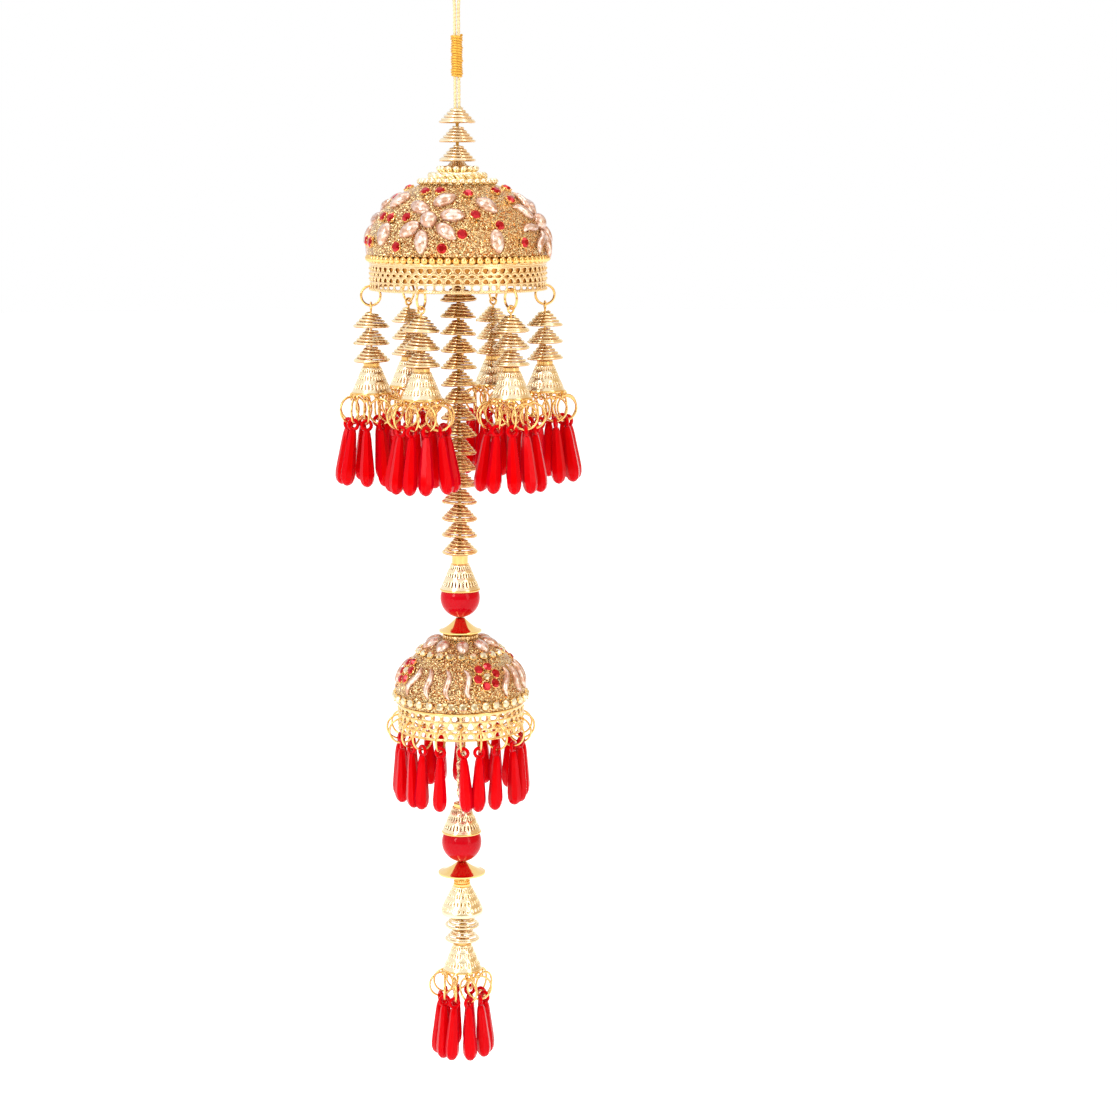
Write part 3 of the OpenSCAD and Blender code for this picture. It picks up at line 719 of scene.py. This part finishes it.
# %% The shoulder cone
SHOULDER_WALL = 0.55
bm = bmesh.new()
pierced(bm, CONE_OPENINGS,
        [(3.3, 345.4), (3.7, 346.0), (4.4, 347.6), (4.7, 347.9), (5.7, 350.1), (6.0, 350.4),
         (7.0, 352.8), (7.3, 353.1), (8.0, 355.2), (8.15, 355.6), (8.15, 356.4), (7.8, 357.0)],
        {1: ("oval", 0, 0.22), 3: ("oval", 1, 0.34), 5: ("oval", 0, 0.46), 7: ("oval", 1, 0.52)})
shoulder = piece("shoulder_shell", bm, pale_cast, "strand", ["shoulder_cone"], sharp=40)
thicken(shoulder, SHOULDER_WALL)
bm = bmesh.new()
lathe(bm, [(0.95, 338.5), (2.4, 338.5), (2.7, 338.8), (2.7, 342.2), (3.0, 342.4), (3.1, 343.2),
           (2.8, 343.5), (2.8, 344.6), (3.3, 344.9), (3.3, 345.6), (0.95, 345.6)], 32)
stamp_round(bm, ball, 20, depth=344.1, radius=2.85, size=(0.3, 0.3, 0.5))
piece("shoulder_neck", bm, plated_brass)

# %% [markdown]
# ## Saucers and the milled collar
# Under each red bead sits a polished saucer, spun from sheet: steep in the middle and flat at the
# rim, so its middle mirrors the red bead. The small dome's collar is a short tube with a milled edge.

# %% Saucers and collar
SAUCER_BORE_R, SAUCER_TOP_R, SAUCER_WALL = 0.95, 1.6, 0.6
SAUCER_STEPS, SAUCER_FLARE = 14, 1.5


def saucer(name, node, depth, radius, height):
    """Spins a saucer of even wall from a line that falls steeply at first and ends flat."""
    top = []
    for i in range(SAUCER_STEPS + 1):
        t = i / SAUCER_STEPS
        top.append((SAUCER_TOP_R + (radius - SAUCER_TOP_R) * t,
                    depth + height * (1 - (1 - t) ** SAUCER_FLARE)))
    edge = [(radius + 0.05, depth + height + SAUCER_WALL / 2)]
    under = [(r, d + SAUCER_WALL) for r, d in reversed(top)]
    bore = [(SAUCER_BORE_R, depth), (SAUCER_BORE_R, depth + SAUCER_WALL)]
    bm = bmesh.new()
    lathe(bm, bore[:1] + top + edge + under + bore[::-1], 64)
    piece(name, bm, polished_gilt, stands_for=[node])


saucer("upper_flared_saucer", "upper_saucer", depth=241.8, radius=8, height=4.6)
saucer("lower_flared_saucer", "lower_saucer", depth=336.35, radius=9, height=3.9)

bm = bmesh.new()
lathe(bm, [(4.3, 247.8), (5.9, 247.8), (6.2, 248.1), (6.3, 249.5), (5.8, 249.6), (4.3, 249.0),
           (4.3, 247.8)], 48)
stamp_round(bm, ball, 32, depth=248.75, radius=6.3, size=(0.5, 0.5, 0.95))
piece("milled_collar", bm, cast_filigree, stands_for=["dome_collar"])

# %% [markdown]
# ## Rings and drops
# Ninety drops hang on ninety open rings of thin wire. A drop is moulded with an eye at its top and
# eight flat sides that taper up from a full belly. Each ring with its drop is turned a little at
# random about its own upright, and each drop swings a little to one side, as they never hang quite
# alike. The drops of the cones also lean out a little.

# %% One ring and one drop
RING_R, RING_WIRE = 4.6, 0.4
RING_SAG, RING_OUT = 0.17, 8.2
DROP_L, DROP_R, EYE_BELOW = 22.75, 2.8, 5.05
DROP_EYE_R, DROP_EYE_WIRE = 1.72, 0.68
LOOSE_TURN = 20
DROP_ROWS = [(0.075, 0.0), (0.08, 0.4), (0.14, 0.53), (0.22, 0.62), (0.35, 0.71), (0.5, 0.82),
             (0.65, 0.93), (0.78, 1.0), (0.87, 0.95), (0.94, 0.74), (0.98, 0.42), (1.0, 0.0)]
bm = bmesh.new()
tube_ring(bm, RING_R, RING_WIRE, 26, 7, turned("X", 90))
ring = shape(bm, "ring")
bm = bmesh.new()
lathe(bm, [(share * DROP_R, along * DROP_L) for along, share in DROP_ROWS], 8)
tube_ring(bm, DROP_EYE_R, DROP_EYE_WIRE, 16, 10, turned("Y", 90))
drop = shape(bm, "drop")


def sway(i):
    """A share from -1 to 1 that puts neighbours out of step."""
    return math.sin(2 * i + 3)


def bunch(name, body, nodes, spots, lean, turn, swing):
    """The rings and drops at the given places: one piece of each, which stand for the two nodes."""
    rings, drops = bmesh.new(), bmesh.new()
    for i, spot in enumerate(spots):
        opened = turned("Z", turn + random.uniform(-LOOSE_TURN, LOOSE_TURN))
        stamp(rings, ring, spot @ opened)
        hang = turned("X", swing * sway(i)) @ turned("Y", -lean) @ down(EYE_BELOW)
        stamp(drops, drop, spot @ hang @ opened)
    piece(name + "_rings", rings, plated_brass, body, [nodes[0]], sharp=60)
    piece(name + "_red_drops", drops, red_acrylic, body, [nodes[1]], sharp=30)


def cone_ring_spots(place, rim_depth):
    depth = rim_depth + EYELET_DROP + RING_R + RING_SAG
    return [place @ spot @ down(depth, RING_OUT) for spot in around(EYELETS)]


DOME_RINGS, DOME_RING_STRAY = 20, 1.7
DOME_RING_DEPTH, DOME_RING_OUT = 283.5, 23.3
dome_spots = [turned("Z", DOME_RING_STRAY * sway(i)) @ spot @ down(DOME_RING_DEPTH, DOME_RING_OUT)
              for i, spot in enumerate(around(DOME_RINGS, BAND_TURN))]
bunch("dome", "strand", ["small_dome_rings", "small_dome_drops"], dome_spots, lean=0, turn=0, swing=3)
bunch("end", "strand", ["end_rings", "end_drops"],
      cone_ring_spots(Matrix(), END_CONE_DEPTH + END_CONE_H), lean=3, turn=36, swing=2.5)

# %% [markdown]
# ## The six tassels
# Each tassel swings on its own jump ring: an eye pin holds three coils and a filigree cone, and ten
# drops hang round the cone. The jump ring and pin keep the frame's solids, with a better finish.

# %% The tassels
TASSELS, TASSEL_TURN, TASSEL_OUT = 6, -112, 32.2
TASSEL_CONE_DEPTH = 147.0
for k, spot in enumerate(around(TASSELS, TASSEL_TURN), 1):
    body = f"tassel_{k}"
    place = spot @ down(0, TASSEL_OUT)
    coil_stack(body + "_wire_coils", body + "_coils", tassel_wire, 3, depth=126.85, pitch=6.2,
               tilt=2.4, body=body, place=place)
    cone_pieces(body + "_filigree", [body + "_cone"], place @ down(TASSEL_CONE_DEPTH), body)
    bunch(body, body, [body + "_rings", body + "_drops"],
          cone_ring_spots(place, TASSEL_CONE_DEPTH + CONE_H), lean=7, turn=36, swing=2.5)

# %% [markdown]
# ## Seats on the domes
# Pearls and stones are glued to the glitter, each standing square to the shell. So a seat is worked
# out on a dome from a direction round the strand and a depth, and a shape is stamped on it. A dome
# is given by its radius, its rise and the depth of its widest line.

# %% Seats on the domes


def seat(dome, azimuth, depth, turn=0.0, lift=0.0):
    """A matrix whose Z stands out of a dome. azimuth is 0 at the front and grows to the right."""
    radius, rise, middle = dome
    up = max(-0.05, min(0.999, (middle - depth) / rise))
    out = math.sqrt(1 - up * up)
    a = math.radians(azimuth)
    way = Vector((math.sin(a), -math.cos(a), 0))
    point = way * radius * out + Vector((0, 0, -middle + rise * up))
    normal = (way * out / radius + Vector((0, 0, up / rise))).normalized()
    side = Vector((math.cos(a), math.sin(a), 0))
    climb = normal.cross(side)
    facing = Matrix((side, climb, normal)).transposed().to_4x4()
    return Matrix.Translation(point + normal * lift) @ facing @ turned("Z", turn)


BIG_DOME = (33.2, 26.2, 104.6)
SMALL_DOME = (24.7, 24.7, 273.5)
print("a seat in front", [round(c, 1) for c in seat(BIG_DOME, 0, 95).translation], "mm")

# %% [markdown]
# ## Pearls
# The pearls are moulded: petals with a shallow crease, rounds, and waves bent like an S. A sphere
# gives the petals and the rounds, and a wave is pulled along its bend. Petals and waves are sagged
# to lie on the shell.

# %% The pearl shapes
TIP_TAPER, CREASE, CREASE_W = 0.32, 0.22, 0.22
WAVE_STEPS, WAVE_HALF_H = 14, 1.5


def bent_to(bm, radius):
    """Sags a flat shape so that it lies on a dome of this radius."""
    for v in bm.verts:
        v.co.z -= (v.co.x ** 2 + v.co.y ** 2) / (2 * radius)


def petal_shape(length, width, height):
    """A pearl petal along +X: full near its root, pointed at its tip, with a shallow crease."""
    bm = bmesh.new()
    bmesh.ops.create_uvsphere(bm, u_segments=14, v_segments=10, radius=1)
    bmesh.ops.rotate(bm, verts=bm.verts, cent=(0, 0, 0), matrix=turned("Y", 90).to_3x3())
    for v in bm.verts:
        along = v.co.x
        taper = 1 - TIP_TAPER * max(0.0, along) ** 1.5
        crease = CREASE * math.exp(-(v.co.y / CREASE_W) ** 2) * max(0.0, 1 - along * along)
        v.co = (along * length / 2, v.co.y * width / 2 * taper,
                v.co.z * height * (1 - (crease if v.co.z > 0 else 0)))
    bent_to(bm, 30)
    return shape(bm, "petal")


def wave_shape(length, width, swing, radius):
    """A pearl bent like an S along Y, thick in the middle and pointed at both ends."""
    bm = bmesh.new()
    stations = []
    for i in range(WAVE_STEPS + 1):
        t = i / WAVE_STEPS
        full = max(0.06, math.sin(math.pi * t) ** 0.6)
        slope = swing * 2 * math.pi * math.cos(2 * math.pi * t) / length
        stations.append(Matrix.Translation((swing * math.sin(2 * math.pi * t), (t - 0.5) * length, 0))
                        @ turned("Z", -math.degrees(math.atan(slope))) @ turned("X", -90)
                        @ Matrix.Diagonal((full * width / 2, full * WAVE_HALF_H, 1, 1)))
    pull(bm, stations, 9, 1)
    bent_to(bm, radius)
    return shape(bm, "wave")


petal = petal_shape(9, 5.5, 2.2)
small_petal = petal_shape(7.6, 4.9, 2.0)
dome_wave = wave_shape(10.4, 3.0, -0.9, 30)
small_wave = wave_shape(12, 2.5, -1.1, 26)
bm = bmesh.new()
bmesh.ops.create_uvsphere(bm, u_segments=18, v_segments=12, radius=3.25)
bmesh.ops.scale(bm, verts=bm.verts, vec=(1, 1, 0.8))
round_pearl = shape(bm, "round pearl")
print("petal", len(petal.polygons), "faces, wave", len(dome_wave.polygons), "faces")

# %% [markdown]
# ## Stones
# A stone is pressed with a flat table and slanting sides, and sits in a small cup whose claws hold
# its edge. Both are turned on the lathe, the stone in only eight steps, which gives it facets.

# %% Stones in their cups
FACETS = 8
cups = bmesh.new()


def cut_and_cup(radius, height, claws):
    """The shapes of a stone and of the cup that it sits in."""
    bm = bmesh.new()
    lathe(bm, [(0, -height), (radius * 0.55, -height), (radius, -height * 0.45), (radius, 0)], FACETS)
    cut = shape(bm, "stone")
    bm = bmesh.new()
    lathe(bm, [(radius * 0.9, 0), (radius * 1.08, 0), (radius * 1.08, -height * 0.3),
               (radius * 0.98, -height * 0.4), (radius * 0.9, 0)], 16)
    for spot in around(claws):
        stamp(bm, ball, spot @ down(-height * 0.5, radius) @ Matrix.Scale(radius * 0.15, 4))
    return cut, shape(bm, "cup")


def set_stone(stones, kind, place):
    """Stamps a stone among the others of its colour, and its cup among the cups."""
    stamp(stones, kind[0], place)
    stamp(cups, kind[1], place)


RED, CLEAR = cut_and_cup(1.95, 1.5, claws=6), cut_and_cup(1.45, 1.2, claws=4)
print("stone", len(RED[0].polygons), "faces, cup", len(RED[1].polygons), "faces")

# %% [markdown]
# ## The large dome's decoration
# Two flowers, one of petals and one of waves, with single petals and red stones round them. Their
# places were read off as directions and depths, each with a turn where it matters. The far half
# repeats the near half.

# %% The large dome's flowers
PEARL_LIFT, WAVE_LIFT = 0.5, 0.4
WAVES, WAVE_START = 8, 10
WAVE_LIE = Matrix.Translation((0, 8.6, -1.15)) @ turned("X", -16)
PETAL_FLOWER, WAVE_FLOWER = (-17.7, 93.2), (74.4, 94.3)
PETALS = [(-1.5, 91.6, 0), (-8.6, 86.4, 33), (-28, 89, 158), (-5, 97.2, -38), (-20.8, 100.8, -90),
          (-30.5, 96.6, -144)]
SINGLES = [(-55.6, 86.6, -125), (-52, 98.3, -100), (25.6, 88.2, -45), (27.2, 100.6, -85)]
RED_SPOTS = [(-33.1, 83.5), (-16.5, 83.3), (12.5, 84.2), (46.3, 83.4), (80, 82.6), (54.3, 86.4),
             (14.9, 91.4), (30.7, 95.2), (4.9, 98.1), (48, 101.3), (-7.5, 103), (-38.8, 102.6),
             (-35.6, 92.4), (-50.9, 92.7), (-61.8, 92.4), (-69.4, 85.8), (-68.6, 101.4), (100, 101)]
pearls, cuts = bmesh.new(), bmesh.new()
for half in (0, 180):
    for azimuth, depth in (PETAL_FLOWER, WAVE_FLOWER):
        stamp(pearls, round_pearl, seat(BIG_DOME, azimuth + half, depth, lift=PEARL_LIFT))
    for azimuth, depth, turn in PETALS + SINGLES:
        stamp(pearls, petal, seat(BIG_DOME, azimuth + half, depth, turn, PEARL_LIFT))
    for i in range(WAVES):
        turn = WAVE_START + 360 * i / WAVES
        middle = seat(BIG_DOME, WAVE_FLOWER[0] + half, WAVE_FLOWER[1], turn, WAVE_LIFT)
        stamp(pearls, dome_wave, middle @ WAVE_LIE)
    for azimuth, depth in RED_SPOTS:
        set_stone(cuts, RED, seat(BIG_DOME, azimuth + half, depth, azimuth * 3))
piece("large_dome_pearls", pearls, pearl, sharp=60)
piece("large_dome_red_stones", cuts, red_stone, sharp=15)

# %% [markdown]
# ## Pearls, flowers and stone rows on the small dome
# The small dome has a collar of pearl petals, a row of clear stones under it, four red flowers with
# four S-shaped pearls between each two, and another row of clear stones on its edge.

# %% The small dome's decoration
COLLAR_PETALS, COLLAR_START, COLLAR_DEPTH, COLLAR_LIFT = 9, 6.4, 251.4, 0.4
FLOWERS = [29.6, 118, 207, 291]
FLOWER_DEPTH, FLOWER_STONES, FLOWER_START = 260.6, 6, 12
FLOWER_LIE = Matrix.Translation((3.9, 0, -0.32)) @ turned("Y", 9) @ Matrix.Scale(0.92, 4)
WAVES_BETWEEN, WAVE_DEPTH, WAVE_MARGIN, WAVE_TURN, SMALL_WAVE_LIFT = 4, 263, 20.5, 12, 0.35
STONE_ROWS, ROW_START, ROW_LIFT = [(23, 254.2), (36, 271.0)], 4, 0.15
pearls, cuts, clears = bmesh.new(), bmesh.new(), bmesh.new()
for i in range(COLLAR_PETALS):
    azimuth = COLLAR_START + 360 * i / COLLAR_PETALS
    stamp(pearls, small_petal, seat(SMALL_DOME, azimuth, COLLAR_DEPTH, -90, COLLAR_LIFT))
for azimuth, after in zip(FLOWERS, FLOWERS[1:] + [FLOWERS[0] + 360]):
    for i in range(WAVES_BETWEEN):
        where = azimuth + WAVE_MARGIN + (after - azimuth - 2 * WAVE_MARGIN) * i / (WAVES_BETWEEN - 1)
        turn = WAVE_TURN if i else -WAVE_TURN
        stamp(pearls, small_wave, seat(SMALL_DOME, where, WAVE_DEPTH, turn, SMALL_WAVE_LIFT))
    for i in range(FLOWER_STONES):
        turn = FLOWER_START + 360 * i / FLOWER_STONES
        set_stone(cuts, RED, seat(SMALL_DOME, azimuth, FLOWER_DEPTH, turn) @ FLOWER_LIE)
    set_stone(clears, CLEAR, seat(SMALL_DOME, azimuth, FLOWER_DEPTH))
for count, depth in STONE_ROWS:
    for i in range(count):
        set_stone(clears, CLEAR, seat(SMALL_DOME, ROW_START + 360 * i / count, depth, lift=ROW_LIFT))
piece("small_dome_pearls", pearls, pearl, sharp=60)
piece("small_dome_red_stones", cuts, red_stone, sharp=15)
piece("clear_stones", clears, clear_stone, stands_for=["upper_stone_row", "lower_stone_row"],
      sharp=15)
piece("stone_cups", cups, plated_brass)

# %% [markdown]
# ## The chain
# Under the small dome the strand goes on as a short chain of round links, each a quarter turn from
# the last.

# %% The chain
LINK_R, LINK_WIRE = 1.9, 0.5
CHAIN_LINKS, CHAIN_DEPTH, LINK_PITCH = 22, 254.15, 2.6
bm = bmesh.new()
tube_ring(bm, LINK_R, LINK_WIRE, 18, 8, turned("X", 90))
link = shape(bm, "link")
bm = bmesh.new()
for i in range(CHAIN_LINKS):
    stamp(bm, link, down(CHAIN_DEPTH + LINK_PITCH * i) @ turned("Z", 45 if i % 2 else 135))
piece("link_chain", bm, pale_wire, stands_for=["chain_links"], sharp=60)

# %% [markdown]
# ## Finishes of the frame's own solids
# The domes, beads, wires and hangers have the right shape already, so they stay as they are and only
# get a finish. Their meshes are never changed.

# %% Finishes on the frame
FRAME_FINISHES = {
    "big_dome": gold_glitter, "small_dome": gold_glitter, "upper_bead": red_bead,
    "lower_bead": red_bead, "inner_sleeve": hidden_steel, "upper_wire": hidden_steel,
    "lower_wire": hidden_steel}
FRAME_FINISHES.update({f"tassel_{k + 1}_hanger": plated_brass for k in range(TASSELS)})
for name, material in FRAME_FINISHES.items():
    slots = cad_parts[name].material_slots
    for slot in slots:
        slot.material = material
print(len(FRAME_FINISHES), "nodes finished")

# %% [markdown]
# ## Floor
# The photograph has a plain white ground. Here it is a white acrylic table, lit softly from below as
# for product pictures, well under the strand.

# %% Floor
WHITE = (1, 1, 1, 1)
FLOOR_DEPTH, FLOOR_R = 480, 6000
bm = bmesh.new()
bmesh.ops.create_circle(bm, cap_ends=True, segments=64, radius=FLOOR_R * MM,
                        matrix=Matrix.Translation((0, 0, -FLOOR_DEPTH * MM)))
floor_mesh = shape(bm, "floor")
floor_paint = grained(
    "white acrylic table, lit from below", "#F6F6F6", "#FAFAFA", 400,
    Roughness=0.9, Emission_Color=WHITE, Emission_Strength=0.35)
floor_mesh.materials.append(floor_paint)
floor = bpy.data.objects.new("floor", floor_mesh)
scene.collection.objects.link(floor)
print("floor", FLOOR_DEPTH, "mm down")

# %% [markdown]
# ## Light
# The light is soft and very bright from all round, as in a light tent. Polished metal shows what is
# round it, so the tent is warm brown low behind the camera and at the right, and white everywhere
# else. The camera itself sees it white all over. Three large soft lights give the gold its streaks.

# %% Light
LOW_BROWN, SIDE_BROWN = (0.42, 0.28, 0.13, 1), (0.75, 0.52, 0.28, 1)
MIDDLE = Vector((0, 0, -0.2))
tent = bpy.data.worlds.new("light tent")
tent.use_nodes = True
scene.world = tent
tree = tent.node_tree
glow = tree.nodes["Background"]
way = add(tree, "ShaderNodeTexCoord").outputs["Generated"]
split = add(tree, "ShaderNodeSeparateXYZ", {}, {"Vector": way})
height = add(tree, "ShaderNodeVectorMath", {"operation": "DOT_PRODUCT"}, {0: way, 1: (0, 1, 1.1)})
fall = add(tree, *SMOOTH_RANGE, {"Value": height.outputs["Value"], "From Min": -0.95, "From Max": -0.3})
shade = add(tree, *MIX, {"Factor": fall.outputs["Result"], "A": LOW_BROWN, "B": WHITE})
side = add(tree, *SMOOTH_RANGE, {"Value": split.outputs["X"], "From Min": 0.35, "From Max": 0.95})
shade = add(tree, *MIX, {"Factor": side.outputs["Result"], "A": shade.outputs["Result"],
                         "B": SIDE_BROWN})
seen = add(tree, "ShaderNodeLightPath").outputs["Is Camera Ray"]
shade = add(tree, *MIX, {"Factor": seen, "A": shade.outputs["Result"], "B": WHITE})
tree.links.new(shade.outputs["Result"], glow.inputs["Color"])


def softbox(name, place, size, power):
    """A large soft light at a place in metres, turned towards the middle of the strand."""
    light = bpy.data.lights.new(name, "AREA")
    light.shape, light.size, light.size_y = "RECTANGLE", size[0], size[1]
    light.energy = power
    made = bpy.data.objects.new(name, light)
    made.location = place
    made.rotation_euler = (MIDDLE - Vector(place)).to_track_quat("-Z", "Y").to_euler()
    scene.collection.objects.link(made)


softbox("key", (-1.0, -1.3, 0.7), size=(0.4, 1.1), power=12)
softbox("fill", (1.2, -1.1, 0.3), size=(0.5, 1.2), power=5)
softbox("top", (0.0, 0.2, 1.3), size=(1.4, 1.0), power=7)
scene.view_settings.view_transform = "Standard"
scene.view_settings.look = "None"
print(len(bpy.data.lights), "lights")
